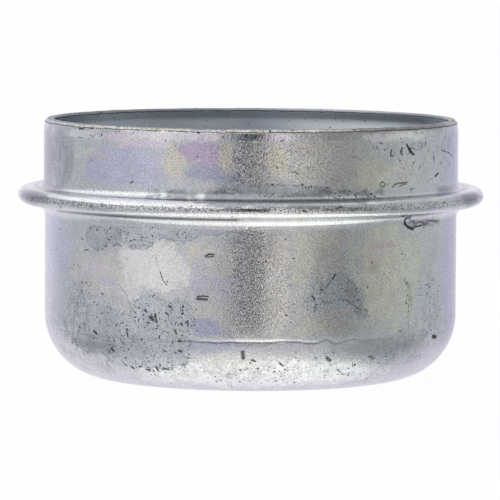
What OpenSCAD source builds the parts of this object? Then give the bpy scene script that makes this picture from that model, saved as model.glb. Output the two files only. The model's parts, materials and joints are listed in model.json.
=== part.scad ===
/* [Sheet] */
// Thickness of the sheet steel that the cap is drawn from
sheet = 0.9; // [0.6:0.05:1.2]

/* [Spigot] */
// Outside diameter of the spigot, the length that presses into the hub's bore
spigot_d = 50.3; // [44:0.1:56]
// Height of the open rim above the bead's seat
spigot_h = 8.25; // [6:0.25:14]
// Height of the lead-in taper below the rim
lead_h = 1.4; // [0.8:0.1:3]
// How far the lead-in draws the rim in from the spigot's wall
lead_in = 0.15; // [0.05:0.05:0.4]
// Chamfer on the rim's outer edge
rim_chamfer = 0.3; // [0.1:0.05:0.5]

/* [Bead] */
// How far the bead stands out from the spigot's wall
bead_out = 3.1; // [2.8:0.1:5]
// Hairline gap that the flattened fold leaves inside the bead
crease_gap = 0.2; // [0.05:0.05:0.4]
// Outside radius where the spigot turns out into the bead's seat
upper_root = 0.95; // [0.3:0.05:1.5]
// Outside radius where the bead's underside turns down into the body
lower_root = 1.6; // [0.3:0.05:1.6]

/* [Body] */
// Height of the bead's underside above the closed end
body_h = 21.05; // [14:0.05:35]
// How far the body's wall stands back from the spigot's wall
body_step = 0.15; // [0:0.05:0.6]
// Outside radius between the wall and the closed end
corner_r = 7.7; // [3:0.1:12]

/* [Draw ring] */
// How far the drawing die's ring mark lies below the start of the corner
ring_drop = 1.2; // [0:0.1:2.5]
// Depth of the ring mark
ring_depth = 0.05; // [0.02:0.01:0.15]
// Radius of the ring mark's rounded bottom
ring_r = 0.6; // [0.3:0.1:1.5]

/* [Hidden] */
$fn = 96;

zinc = [0.72, 0.73, 0.76];

spigot_r = spigot_d / 2;
rim_r = spigot_r - lead_in;
body_r = spigot_r - body_step;
bead_r = spigot_r + bead_out;

// The bead is two thicknesses of sheet folded flat, with the hairline gap between them
bead_t = 2 * sheet + crease_gap;
bead_mid_z = body_h + bead_t / 2;
seat_z = body_h + bead_t;
rim_z = seat_z + spigot_h;

// Extra height of drawn wall, which the rim's trim takes off
trim = 1;

// Quarter of a disc, in the first quadrant
module quarter(r) {
    intersection() {
        circle(r);
        square(r);
    }
}

// Material that rounds an inside corner at the origin, with its walls along +X and +Y
module root_fillet(r) {
    difference() {
        square(r);
        translate([r, r]) circle(r);
    }
}

// Closed cup of one outside radius, with a rounded bottom corner
module cup_outline(r, corner, h) {
    square([r - corner, h]);
    translate([0, corner]) square([r, h - corner]);
    translate([r - corner, corner]) mirror([0, 1]) quarter(corner);
}

// Straight wall above the bead, then the lead-in taper, with the trim allowance above the rim
module spigot_outline(r) {
    taper_h = lead_h + trim;
    taper_in = lead_in * taper_h / lead_h;
    translate([0, bead_mid_z]) square([r, rim_z - lead_h - bead_mid_z]);
    translate([0, rim_z - lead_h]) polygon([[0, 0], [r, 0], [r - taper_in, taper_h], [0, taper_h]]);
}

// Flat tongue that reaches out to r and ends in a full round
module tongue_outline(r, t) {
    translate([0, -t / 2]) square([r - t / 2, t]);
    translate([r - t / 2, 0]) circle(t / 2);
}

// Filled outline of the cap, every surface moved inwards by inset: 0 is the outside of the
// sheet and its thickness is the inside, so each bend keeps one centre for both radii
module filled_outline(inset) {
    translate([0, inset]) cup_outline(body_r - inset, corner_r - inset, bead_mid_z - inset);
    spigot_outline(spigot_r - inset);
    translate([0, bead_mid_z]) tongue_outline(bead_r - inset, bead_t - 2 * inset);
    translate([spigot_r - inset, seat_z - inset]) root_fillet(upper_root + inset);
    translate([body_r - inset, body_h + inset]) mirror([0, 1]) root_fillet(lower_root + inset);
}

// What is trimmed off above the rim, with the chamfer on its outer edge
module rim_trim() {
    land_r = rim_r - rim_chamfer;
    out = 2 * rim_chamfer;
    translate([land_r, rim_z])
        polygon([[-land_r, 0], [0, 0], [out, -out], [out, 2 * trim], [-land_r, 2 * trim]]);
}

// Ring mark, pressed square into the corner's surface
module ring_groove() {
    down = asin(ring_drop / corner_r);
    translate([body_r - corner_r, corner_r]) rotate(-down)
        translate([corner_r + ring_r - ring_depth, 0]) circle(ring_r);
}

// Half section of the drawn sheet, from its axis out
module cap_section() {
    difference() {
        filled_outline(0);
        filled_outline(sheet);
        rim_trim();
        ring_groove();
    }
}

// The whole cap is one pressing: closed end, body, folded bead and open spigot
module grease_cap() {
    color(zinc) rotate_extrude() cap_section();
}

grease_cap();
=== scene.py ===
import json
import math
from functools import partialmethod

import bpy
import numpy as np
from mathutils import Matrix, Vector, noise
from mathutils.bvhtree import BVHTree


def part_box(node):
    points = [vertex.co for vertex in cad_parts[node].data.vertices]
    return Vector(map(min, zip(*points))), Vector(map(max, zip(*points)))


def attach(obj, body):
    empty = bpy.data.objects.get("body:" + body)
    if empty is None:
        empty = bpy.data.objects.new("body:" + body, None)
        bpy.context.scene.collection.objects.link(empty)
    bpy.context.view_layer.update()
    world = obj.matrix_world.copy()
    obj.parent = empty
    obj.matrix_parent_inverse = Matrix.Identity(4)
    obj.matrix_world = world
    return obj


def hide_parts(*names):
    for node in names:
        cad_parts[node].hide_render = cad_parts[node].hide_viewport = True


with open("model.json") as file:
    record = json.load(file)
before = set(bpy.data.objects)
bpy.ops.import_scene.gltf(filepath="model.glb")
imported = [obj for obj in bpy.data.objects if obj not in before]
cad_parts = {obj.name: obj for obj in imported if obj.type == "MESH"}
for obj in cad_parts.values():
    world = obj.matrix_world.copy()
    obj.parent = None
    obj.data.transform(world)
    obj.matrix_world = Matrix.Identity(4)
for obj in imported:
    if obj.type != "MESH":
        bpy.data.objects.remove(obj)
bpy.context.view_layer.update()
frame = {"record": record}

# The cap's sizes in millimetres. The overall ones come from the frame.
MM = 0.001
low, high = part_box("grease_cap")
BEAD_R = (high[0] - low[0]) / 2 / MM
RIM_Z = (high[2] - low[2]) / MM
MOUNTS = {m["name"]: m for m in frame["record"]["mounts"]}
SPIGOT_R = MOUNTS["spigot"]["dims"]["r_mm"]
SEAT_Z = MOUNTS["bead_seat"]["pos_m"][2] / MM
SHEET = 0.9
CREASE = 0.2
BEAD_T = 2 * SHEET + CREASE
UNDER_Z = SEAT_Z - BEAD_T
BODY_STEP = 0.15
BODY_R = SPIGOT_R - BODY_STEP
CORNER_R = 7.7
FLAT_R = BODY_R - CORNER_R
UPPER_ROOT = 0.95
LOWER_ROOT = 1.6
LEAD_H = 1.4
LEAD_IN = 0.15
LEAD_Z = RIM_Z - LEAD_H
RIM_R = SPIGOT_R - LEAD_IN
CHAMFER = 0.3
CHAMFER_FOOT = 0.02
RING_DROP = 1.2
RING_Z = CORNER_R - RING_DROP
# The section's corners at the rim: the chamfer's two ends, and the land's inner end.
CHAMFER_LOW = (RIM_R + CHAMFER_FOOT, RIM_Z - CHAMFER)
CHAMFER_HIGH = (RIM_R - CHAMFER, RIM_Z)
INNER_EDGE = (RIM_R - SHEET, RIM_Z)

# How many points go round the outside and the inside.
FULL, HALF = 480, 240
# How far apart rows of points lie, in millimetres, and the share of that in tight bends.
OUTER_STEP, INNER_STEP, BEND_SHARE = 0.36, 0.62, 0.6
LEAD_STEP, INNER_LEAD_STEP, CHAMFER_STEP, LAND_STEP = 0.25, 0.35, 0.12, 0.2
# The draw ring's stretch of the corner has finer rows: between which angles, and how far apart.
RING_FROM, RING_TO, RING_STEP = -13.0, -4.0, 0.070
# Rings of points on the closed end, outside and inside: radius and count.
END_RINGS = ((2, 60), (5, 120), (9, 240), (12, 240), (15, 480))
FLOOR_RINGS = ((14, 240), (11, 240), (8, 120), (5, 120), (2, 60))
# How far the noise is shifted for each seed.
SEED_SHIFT = (7.3, 3.1, 5.7)

# How far the cap is out of round: lobes, their turn in radians, and depth in millimetres.
OUT_OF_ROUND = ((2, 1.0, 0.022), (3, 0.4, 0.012))
# How far bead and rim waver, and how far in the bead lies, in millimetres. Scale and seed.
BEAD_WAVER, BEAD_IN, BEAD_NOISE = 0.015, 0.012, (0.9, 1)
RIM_WAVER, RIM_NOISE = 0.035, (0.8, 2)
# How far below the rim its waver and nicks fade out, in millimetres.
RIM_FADE = 0.8
# Dents in the sheet: centre x and y in the photograph, radius and depth in millimetres.
DENTS = (
    (446.5, 144, 1.0, 0.12), (409.5, 150, 0.5, 0.06), (391.5, 153, 0.5, 0.04),
    (402, 151, 0.5, 0.05), (434, 160, 0.4, 0.04), (420, 168, 0.4, 0.03), (409, 222, 0.9, 0.10),
    (425, 222, 1.1, 0.07), (434.8, 336.7, 0.5, 0.05), (382, 185, 0.5, 0.03), (397, 184, 0.5, 0.03),
    (313.5, 297, 0.5, 0.04), (243, 355, 0.5, 0.04), (164, 283, 0.4, 0.03),
)
# Nicks in the rim's edge: x in the photograph, half width in pixels, depth in millimetres.
RIM_NICKS = ((81, 3, 0.12), (198, 4, 0.10), (223, 3, 0.12), (402, 3, 0.08), (441, 3, 0.08))
# Where the draw ring shows most and where it wavers most: centre x and y, half sizes, strength.
RING_SEEN = ((262, 340, 106, 60, 1.0),)
RING_WAVY = ((315, 340, 60, 60, 1.0), (180, 340, 60, 60, 0.4))
# How strong it is at least, all round.
RING_FAINT = 0.25
# How far it wanders everywhere and wiggles where it is wavy, in millimetres, and how finely.
RING_WANDER, WANDER_SCALE, RING_WIGGLE, WIGGLE_SCALE = 0.06, 6, 0.50, 18
# Its step in millimetres: how deep, how gradual, and how far below the sheet is whole again.
RING_STEP_IN, RING_SHARP, RING_HEALS = 0.075, 0.055, 0.60
# The largest power of e in that step, so that it can't overflow.
MOST_POWER = 40
# How far its upper edge lies above the middle of the ring.
RING_UP = 0.16
# Painted shade below its step: strength, how far below the edge, half height. Painted highlight
# along its lip: strength, height.
GROOVE_SHADE, GROOVE_DOWN, GROOVE_H = 0.8, 0.24, 0.09
LIP_HIGHLIGHT, LIP_H = 0.1, 0.15

# The camera, fitted to the photograph's rims, walls and bottom edge.
PHOTO_SIDE = 500
SENSOR_MM = 36.0
CAMERA_DISTANCE = 570.0
CAMERA_ELEVATION = math.radians(4.65)
CAMERA_ROLL = math.radians(0.3)
CAMERA_AIM = Vector((-0.07, 0.0, 15.26))
FOCAL_PX = 4694.0
# Pixels of the photograph to a millimetre at the cap's front, and how far a patch near the
# outline may be widened to make up for being seen edge-on.
PX_PER_MM = 8.55
NARROWEST = 0.3
# The rim's row in the photograph, at the cap's front.
RIM_ROW = 131
# What the camera sees, from near to far, in metres.
CLIP_NEAR, CLIP_FAR = 0.01, 50

# The plate's colours: plain, untouched, and the faint rainbow tints of its passivated film, with a
# near-white and a dark grey that also serve as painted highlight and painted shade.
COLOURS = {
    "plain": (0.70, 0.71, 0.73),
    "clean": (0.90, 0.90, 0.89),
    "cream": (0.76, 0.76, 0.72),
    "gold": (0.82, 0.76, 0.66),
    "green": (0.77, 0.79, 0.69),
    "blue": (0.67, 0.71, 0.80),
    "lavender": (0.66, 0.65, 0.82),
    "pink": (0.85, 0.76, 0.90),
    "rose": (0.72, 0.64, 0.60),
    "grey": (0.56, 0.57, 0.59),
    # Near-white: a tint, and also the painted highlight on the bead's underside and on the draw
    # ring's lip.
    "polished": (0.97, 0.97, 0.95),
    "mauve": (0.66, 0.55, 0.72),
    "indigo": (0.55, 0.55, 0.70),
    "shell": (0.82, 0.78, 0.76),
    "slate": (0.54, 0.62, 0.69),
    # Dark grey for the root above the bead: painted shade in that crease.
    "root": (0.36, 0.37, 0.40),
}
# Tinted patches seen in the photograph: centre x and y, half width and height, colour, strength.
TINTS = (
    (58, 250, 16, 34, "blue", 0.7), (60, 300, 12, 50, "grey", 0.2),
    (100, 272, 34, 22, "cream", 0.9), (82, 268, 18, 22, "cream", 0.8),
    (96, 270, 10, 7, "pink", 0.8), (112, 279, 24, 15, "shell", 0.9),
    (108, 281, 9, 5, "lavender", 0.5), (156, 266, 36, 28, "polished", 0.9),
    (128, 292, 18, 10, "clean", 0.8), (228, 266, 9, 22, "cream", 0.9),
    (208, 256, 24, 20, "cream", 0.8), (192, 254, 7, 9, "gold", 0.5),
    (199, 277, 9, 22, "lavender", 0.5), (222, 284, 10, 10, "lavender", 0.5),
    (207, 327, 20, 10, "indigo", 0.9), (205, 311, 14, 6, "gold", 0.4),
    (226, 318, 10, 16, "green", 0.5), (279, 256, 15, 22, "shell", 0.9),
    (278, 273, 5, 4, "lavender", 0.9), (276, 306, 17, 30, "clean", 0.8),
    (278, 306, 14, 24, "gold", 0.4), (302, 262, 12, 26, "green", 0.8),
    (322, 250, 25, 20, "green", 0.6), (325, 326, 34, 11, "green", 0.7),
    (396, 282, 44, 56, "green", 0.9), (385, 246, 15, 5, "rose", 1.0),
    (376, 262, 7, 13, "rose", 0.6), (424, 300, 12, 26, "blue", 0.6),
    (448, 270, 7, 70, "lavender", 0.4), (83, 154, 18, 8, "cream", 0.9),
    (82, 168, 7, 9, "cream", 0.7), (120, 166, 44, 20, "lavender", 0.9),
    (100, 156, 7, 6, "rose", 0.4), (58, 158, 16, 30, "grey", 0.8),
    (140, 154, 26, 11, "lavender", 0.8), (165, 136, 62, 5.5, "polished", 1.0),
    (85, 134, 24, 5, "clean", 1.0), (398, 135, 34, 6, "polished", 1.0),
    (110, 135, 12, 5, "pink", 1.0), (150, 144, 34, 5, "pink", 0.9), (172, 147, 6, 5, "gold", 0.8),
    (200, 151, 26, 11, "mauve", 0.9), (212, 160, 22, 12, "mauve", 0.8),
    (173, 163, 12, 13, "gold", 0.8), (204, 173, 21, 10, "indigo", 0.9),
    (226, 179, 20, 6, "indigo", 0.8), (226, 154, 8, 18, "gold", 0.9),
    (277, 138, 14, 6, "pink", 0.8), (277, 162, 15, 20, "clean", 0.7),
    (277, 162, 13, 18, "gold", 0.8), (308, 150, 18, 7, "rose", 0.4),
    (306, 172, 16, 16, "cream", 0.6), (372, 176, 24, 18, "green", 0.9),
    (335, 158, 34, 24, "cream", 0.5), (379, 137, 8, 6, "pink", 0.6), (380, 168, 4, 7, "rose", 0.7),
    (408, 172, 16, 18, "cream", 0.6), (450, 160, 8, 30, "lavender", 0.4),
    (47, 158, 9, 40, "grey", 0.9), (30, 196, 14, 12, "grey", 1.0), (470, 196, 12, 12, "grey", 1.0),
    (175, 136, 60, 5, "pink", 0.5), (258, 188, 46, 5, "lavender", 0.5),
    (160, 188, 50, 4, "blue", 0.4), (255, 341, 10, 5, "rose", 0.5),
    (250, 374, 150, 16, "clean", 0.7), (225, 362, 34, 9, "cream", 0.5),
    (265, 345, 70, 6, "lavender", 0.4), (215, 347, 34, 6, "indigo", 0.5),
    (335, 300, 28, 60, "grey", 0.5), (338, 294, 24, 17, "slate", 0.9),
    # The root tint darkens the crease above the bead: painted shade.
    (276, 198, 118, 9, "root", 1.0), (250, 331, 22, 8, "clean", 0.8),
    # The two polished bands along the draw ring are a painted highlight.
    (252, 341, 18, 5, "polished", 1.0), (276, 341, 12, 3, "polished", 1.0),
    (380, 347, 42, 9, "grey", 0.8), (100, 345, 30, 10, "grey", 0.5),
)
# The borders of patches wander: amount, how finely, and seed of each layer of noise.
WOBBLE = ((0.35, 0.35, 5), (0.25, 1.1, 6), (0.08, 2.6, 7))
# How much more a tint's border wanders than that, and how much less some others do.
TINT_WOBBLE, WORN_WOBBLE, DIRT_WOBBLE, SPECKLE_WOBBLE = 1.3, 0.5, 0.5, 0.2
# How far into a patch its tint or other effect reaches full strength, as a share of its size.
TINT_EDGE, SHARE_EDGE = 0.18, 0.6
# Worn grey patches, with crisp edges: centre x and y, half width and height, how dark.
DULL_PATCHES = (
    (96, 238, 11, 13, 0.3), (114, 236, 8, 10, 0.3), (139, 238, 16, 12, 0.2), (150, 229, 46, 9, 0.2),
    (180, 231, 22, 11, 0.2), (214, 230, 20, 6, 0.1), (96, 314, 13, 12, 0.2), (84, 338, 8, 16, 0.4),
    (110, 326, 26, 20, 0.1), (150, 312, 19, 18, 0.1), (179, 317, 16, 17, 0.2),
    (140, 342, 48, 16, 0.1), (150, 357, 38, 12, 0.15), (90, 344, 22, 9, 0.5),
    (331, 290, 9, 12, 0.38), (341, 282, 10, 9, 0.38), (351, 292, 6, 14, 0.38),
    (358, 306, 5, 9, 0.38), (364, 313, 5.5, 5, 0.6), (320, 298, 7, 6, 0.38),
    (328, 299, 10, 5, 0.38), (317, 306, 3, 5, 0.38), (350, 288, 6.5, 8.5, 0.76),
    (424, 223, 16, 4, 0.9), (417, 146, 7, 5, 0.2), (270, 190, 50, 6, 0.2), (343, 196, 28, 4, 0.5),
)
# How far outside worn patches a place counts at most, in millimetres, and how far outside one,
# as a share of its size, its darkness holds.
FAR_OUT, SHADE_FROM = -3.0, -0.1
# Worn patches end at the root below the bead: over what height, and how much depth they lose.
ROOT_SOFT, ROOT_OFF = 0.5, 2
# Where pits lie closest: centre x and y, half width and height, share.
PITTED = (
    (153, 318, 10, 9, 1), (180, 318, 15, 17, 1), (155, 368, 44, 9, 1), (140, 332, 60, 38, 0.5),
    (142, 369, 26, 5, 1), (178, 305, 12, 4, 0.7), (192, 318, 4, 14, 0.8), (112, 350, 8, 5, 0.6),
    (128, 334, 6, 4, 0.6), (120, 236, 16, 12, 0.25), (139, 242, 17, 7, 0.6), (180, 236, 26, 7, 0.3),
    (408, 305, 4, 26, 0.7), (290, 372, 130, 18, 0.28), (225, 372, 60, 12, 0.35),
    (326, 291, 14, 16, 0.4), (424, 223, 19, 6, 1), (430, 300, 14, 44, 0.4), (350, 197, 26, 4, 0.8),
    (412, 160, 40, 30, 0.12), (100, 133, 22, 6, 0.5), (355, 358, 60, 10, 0.25),
    (290, 305, 14, 24, 0.2), (75, 300, 12, 50, 0.2), (392, 270, 30, 30, 0.1),
)
# How pitted the bead's edge, the closed end and the inside are.
BEAD_PITS, END_PITS, INSIDE_PITS = 0.22, 0.25, 0.05
# Upright scuffs: centre x and y, half width and height, strength.
SCUFFS = (
    (76, 306, 15, 44, 0.8), (60, 160, 16, 26, 0.5), (430, 280, 16, 60, 0.4), (410, 300, 5, 30, 0.8),
)
# The stretch round the cap where the plate is burnished and a painted highlight brightens its
# colour: centre x and y, half sizes, strength.
BURNISHED_AND_HIGHLIGHT = ((270, 222, 175, 60, 0.8),)
# Where that starts, in lower roots, and ends, in bead thicknesses, each with its fade.
SHEEN_LOW, SHEEN_LOW_FADE, SHEEN_HIGH, SHEEN_HIGH_FADE = 0.75, 0.4, 0.55, 0.25
# The bead's rounded edge: middle and half height in bead thicknesses, and how sharp it is.
FACE_MIDDLE, FACE_HALF, FACE_SHARP = 0.45, 0.17, 4
# How much of the lower and the upper root counts as the bead.
BEAD_BELOW, BEAD_ABOVE = 0.7, 0.4
# Where the plate is speckled light and dark: the strip that the camera's gap shows in, and others.
SPECKLED = (
    (250, 158, 24, 40, 1.0), (250, 276, 24, 110, 1.0), (240, 158, 90, 50, 0.30),
    (300, 155, 60, 40, 0.45), (145, 240, 70, 20, 0.35), (275, 290, 26, 70, 0.45),
    (335, 290, 60, 70, 0.35), (250, 370, 180, 30, 0.35), (90, 320, 50, 60, 0.45),
    (60, 160, 24, 40, 0.35),
)
# How strong the speckle is everywhere, on worn patches and on the bead's edge.
BASE_SPECKLE, WORN_SPECKLE, FACE_SPECKLE = 0.22, 0.45, 0.9
# How far outside a worn patch its speckle starts, in millimetres.
SPECKLE_REACH = 0.5
# How much speckle is left on the bead and round the corner, and how dark the bead's edge is.
BEAD_SHARE, CORNER_SHARE, FACE_DARK = 0.2, 0.4, 0.14
# Where dirt has dried on.
STAINED = (
    (75, 322, 26, 50, 0.7), (95, 358, 56, 18, 1.0), (430, 335, 44, 32, 0.6),
    (250, 372, 220, 18, 0.5), (60, 160, 18, 30, 0.7), (448, 155, 14, 34, 0.6),
    (30, 196, 16, 12, 0.8), (470, 196, 16, 12, 0.8), (405, 130, 70, 7, 0.9),
    (400, 290, 60, 60, 0.25), (110, 238, 26, 14, 0.5),
)
# How stained the inside is.
INSIDE_STAIN = 0.3
# Where dirt covers the plate: the bead's ends, the spigot's left edge and the rim's right.
DIRTY = (
    (30, 196, 18, 12, 0.5), (470, 196, 16, 12, 0.5), (47, 158, 10, 40, 0.35),
    (405, 128, 80, 4.5, 0.6),
)
# Half width and height of the painted shade in the seat's crease, in millimetres, and the height of
# the dark line below the bead.
SEAT_SHADE_W, SEAT_SHADE_H, UNDER_DARK_H = 0.35, 0.18, 0.33
# How strong the dark line below the bead is, and how far from the bead's edge, in thicknesses.
UNDER_DARK, UNDER_DARK_REACH = 1.7, 0.7
# Where it starts and ends in the photograph, and how much lies elsewhere.
UNDER_DARK_ENDS, UNDER_ROW, UNDER_DARK_ELSEWHERE = (62, 238), 222, 0.3
# How much of the dry film the inside's back wall has from left to right, more at the right to paint
# light there: millimetres across, then share.
INSIDE_FILM_AS_LIGHT = (
    (-24, 0.02), (-18, 0.02), (-13, 0.22), (-6, 0.30), (0, 0.12), (6, 0.80), (12, 1.0), (18, 1.0),
    (23, 0.5),
)
# How far above the lead-in's foot the haze ends, over what height, and the share left above.
HAZE_TOP, HAZE_TOP_FADE, HAZE_LEAST = 0.1, 0.5, 0.12
# Where it has thinned out downwards, over what height, and the share left, left and right.
HAZE_LOW_Z, HAZE_LOW_FADE, HAZE_LOW_LEAST = 28.6, 0.9, ((0, 0.55), (8, 1.0))
# How uneven it is, the noise's stretch, and its scale and seed.
HAZE_WAVER, HAZE_STRETCH, HAZE_NOISE = 0.06, (1, 1, 0.3), (0.5, 4)

# Scratches, gouges, single pits and the painted shade round one dent in the photograph: width in
# pixels, depth, then x and y of the points along each.
MARKS = {
    "spigot gouge": (
        (2.8, 1.0, 407, 144.6, 409.5, 149, 411.2, 152.4, 413.9, 154.6),
        (4.2, 1.0, 409.4, 148.6, 411.6, 152.6),
    ),
    "crescents": (
        (2.2, 0.9, 392, 150.2, 390.8, 152.6, 391.4, 155.8),
        (2.4, 0.9, 402.6, 148, 400.8, 151, 402, 154.8),
        (1.1, 0.8, 401, 138.2, 400.8, 141, 402.4, 143),
    ),
    "hatching": (
        (1.2, 0.6, 373, 145.6, 373.6, 149), (1.2, 0.6, 376.6, 146.4, 378, 149),
        (1.2, 0.9, 378.6, 142.6, 382.6, 143.3), (1.0, 0.7, 368.7, 139.6, 371.4, 143.8),
    ),
    "spigot pits": (
        (2.0, 0.9, 426, 142, 425.2, 145), (2.0, 1.0, 434.2, 156, 434.4, 161.2),
        (1.8, 0.9, 420.2, 166.2, 419.4, 169.6), (2.4, 1.0, 438.4, 173.4, 435.4, 176.2),
        (1.5, 0.7, 440.6, 161.4, 441, 164),
    ),
    # Dark lines round the dent and down its right side: painted shade of the dent.
    "ding": (
        (1.6, 0.8, 446.2, 135.4, 443.4, 142, 441.8, 150.4),
        (1.6, 0.8, 441.8, 150.4, 449.4, 152.6, 453.4, 157.2),
        (0.9, 0.4, 446.4, 136, 449, 143, 450.4, 150.8),
    ),
    "spigot curves": (
        (1.0, 0.5, 416, 159.6, 412.4, 165.8, 411.2, 172),
        (0.9, 0.5, 353.2, 167.4, 357, 173.4, 354.9, 176.6),
    ),
    "above the bead": (
        (1.2, 0.9, 380.4, 183, 382.6, 181.8, 384.8, 183.6, 384.4, 186.2),
        (1.2, 0.8, 384.4, 186.2, 382, 187, 380.2, 185.4, 380.4, 183),
        (1.3, 0.7, 387, 184.4, 388, 184.6),
        (1.8, 0.8, 392.6, 187.2, 395, 184.6, 398.4, 183.2, 407, 182.6),
        (1.4, 0.7, 399, 186.4, 403, 184.6, 406, 184),
        (1.5, 0.8, 413.6, 188.4, 411.2, 188.9, 411.4, 191.9),
        (1.1, 0.5, 352, 157.4, 356, 156.8, 364, 162), (1.2, 0.8, 158, 196.6, 160, 194.4),
    ),
    "spigot dashes": (
        (1.5, 0.8, 292.6, 172.4, 295, 172.2, 298.4, 173.6), (1.8, 0.7, 277.2, 167, 278, 167.8),
        (1.4, 0.7, 280.6, 141.2, 283.8, 139.8),
    ),
    "rim nicks": (
        (2.4, 1.0, 79, 128.6, 83.8, 127.6), (1.6, 0.9, 89.6, 128.2, 92.2, 129),
        (2.6, 1.0, 198, 131, 199, 132.6),
    ),
    "lead-in marks": (
        (1.3, 0.8, 78.2, 137.2, 81.4, 137.8), (1.4, 0.8, 89.6, 135.2, 92.8, 136.6),
        (1.2, 0.8, 98.6, 137, 102, 135.4), (2.2, 0.8, 222.4, 136.6, 223.4, 137.6),
    ),
    "spigot specks": (
        (1.6, 0.8, 165, 140.2, 166, 141), (1.4, 0.7, 175.2, 146, 175.8, 146.8),
        (1.8, 0.9, 90.4, 159.8, 91, 160.6), (1.8, 0.7, 49, 170.4, 49.4, 171.6),
        (1.6, 0.9, 130.4, 182.8, 132.6, 181.6), (3.2, 0.8, 238.6, 174, 239.4, 176),
    ),
    "body scratches": (
        (0.8, 0.45, 154.7, 255, 158.4, 265.7, 160, 271.5),
        (1.2, 0.95, 160, 271.8, 162.2, 279.5, 166.8, 285.4),
        (0.9, 0.6, 118, 284, 125.6, 293.3, 130.2, 307, 138, 317.8),
        (0.9, 0.4, 203, 270.3, 207.5, 266.5), (0.8, 0.35, 103.4, 255, 111.8, 251, 124, 249.6),
    ),
    "body dashes": (
        (2.0, 0.95, 205, 256, 209, 254.2, 214, 254.2), (1.6, 0.9, 206.4, 257, 213.4, 256.4),
        (1.9, 0.9, 197, 297, 203, 296, 208, 296.6), (2.4, 0.95, 197, 299, 206.6, 299.4),
    ),
    "body pits": (
        (1.5, 0.9, 81.6, 239, 82.4, 239.4), (1.6, 0.9, 84.4, 250.4, 87.4, 249.6),
        (1.4, 0.7, 60, 228.6, 61, 229.2), (3.0, 1.0, 93.6, 331, 96.2, 333.8),
        (3.2, 1.0, 111.6, 349, 113.6, 351.4), (2.8, 0.9, 127, 333.6, 127.6, 336),
        (3.6, 0.9, 150, 317, 153, 320), (2.6, 0.9, 155, 314.5, 156.5, 322),
        (3.0, 0.9, 179, 350.6, 181, 351.6), (1.4, 0.9, 99.3, 319.6, 100, 320.4),
        (1.3, 0.8, 399, 330.8, 402, 331.4), (0.9, 0.6, 417.8, 253.4, 418.6, 249),
    ),
    "patch pits": (
        (2.4, 0.9, 144, 310, 146.4, 312), (2.4, 0.9, 169, 306, 171.4, 307.4),
        (2.6, 0.9, 174.6, 330, 176, 333.6), (2.4, 0.9, 187.2, 321, 188, 326),
        (2.2, 0.9, 166, 313, 168, 315),
    ),
    "patch border": (
        (2.0, 1.0, 335.6, 274, 332.6, 279), (1.5, 0.8, 331, 280.4, 326, 288),
        (1.8, 1.0, 312.2, 295.4, 314.6, 299.6), (1.1, 0.9, 316.4, 304, 314.2, 311.4),
        (1.1, 0.8, 338, 299, 347, 300.4, 354, 306, 360, 309.6),
    ),
    "seam": (
        (0.8, 0.4, 408.2, 284, 408.6, 300, 408.6, 329), (2.2, 0.6, 407.6, 282, 408.4, 287.4),
        (2.4, 0.6, 404.6, 280, 406.8, 284.6),
    ),
    "corner pits": (
        (2.8, 0.9, 131, 366.6, 134, 368.6), (2.6, 0.9, 146, 369.4, 150.4, 370.2),
        (3.0, 0.95, 156.4, 367.4, 158, 370.6), (2.4, 0.9, 164, 368.4, 168.6, 369.4),
        (2.2, 0.9, 124, 363.6, 126.4, 365.6), (2.4, 0.9, 139, 366.4, 141, 367),
    ),
    "low pits": (
        (2.6, 0.9, 252, 360, 255, 361.4), (2.4, 0.95, 279.4, 363, 282.4, 365.4),
        (4.0, 0.85, 327, 357.6, 329.6, 360.4), (1.6, 0.7, 314.4, 356.8, 316.2, 359),
        (3.6, 0.7, 369.6, 356.4, 373.6, 358.4), (1.7, 0.7, 336.8, 369, 338.8, 371),
    ),
    "corner smears": (
        (9.0, 0.25, 72, 338, 84, 344, 102, 346), (6.0, 0.2, 64, 322, 70, 336, 80, 342),
    ),
    "spots": (
        (4.6, 0.85, 242.6, 352, 243.2, 358), (4.8, 1.0, 433, 336.4, 436.2, 337),
    ),
    "corner scratches": (
        (1.1, 0.7, 417.6, 355.8, 413.4, 359, 409.4, 363.6),
        (1.0, 0.6, 412.6, 356.6, 407, 361.6, 402.6, 363.6),
        (1.1, 0.6, 327.4, 388.4, 346, 383.2, 357, 381.6, 366.6, 380.4),
    ),
    "bead gouge": (
        (3.6, 1.0, 410.4, 217.6, 405.4, 219.2, 405, 223.6, 409, 227.4, 413.6, 229),
        (6.0, 0.35, 412, 223, 420, 222.4, 427, 221),
        (2.0, 0.8, 412, 221, 416, 224, 420, 221.4, 425, 223.6, 430, 220.4, 438, 221.6),
        (1.8, 0.8, 413, 225.4, 418, 226.4, 424, 224.8),
        (5.0, 0.35, 424, 223, 433, 220.6, 439, 221.6), (1.8, 0.9, 407, 225, 412, 228.6, 418, 226),
    ),
    "bead pits": (
        (1.6, 0.9, 303, 211, 306, 212), (1.6, 0.9, 336.4, 208.2, 342, 206.8),
        (1.6, 0.8, 90.4, 205, 92.6, 208),
    ),
}
# The core and the edge of a mark, as shares of its width, and the least square of its length.
MARK_CORE, MARK_EDGE, LEAST_SPAN = 0.2, 0.7, 1e-6
# How far places are shaken, in millimetres, to roughen the outlines of marks and of pits.
MARK_SHAKE, MARK_FRAY, PIT_SHAKE, PIT_FRAY = 0.16, 0.20, 0.25, 0.42

# The other colours: worn grey, the rim's edge and land, pits, dirt that also serves as painted
# shade in creases, stains, the inside.
DULL = (0.66, 0.69, 0.735)
EDGE = (0.36, 0.36, 0.35)
BRIGHT_EDGE = (0.64, 0.63, 0.60)
LAND = (0.22, 0.23, 0.23)
PIT = (0.03, 0.03, 0.03)
DIRT_AND_SHADE = (0.10, 0.11, 0.12)
STAIN = (0.36, 0.36, 0.36)
# The inside is a darker copy of the plate, which is painted shade; its pale film is laid out as
# painted light.
INSIDE = (0.57, 0.61, 0.65)
HAZE = (0.92, 0.96, 1.0)
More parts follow.
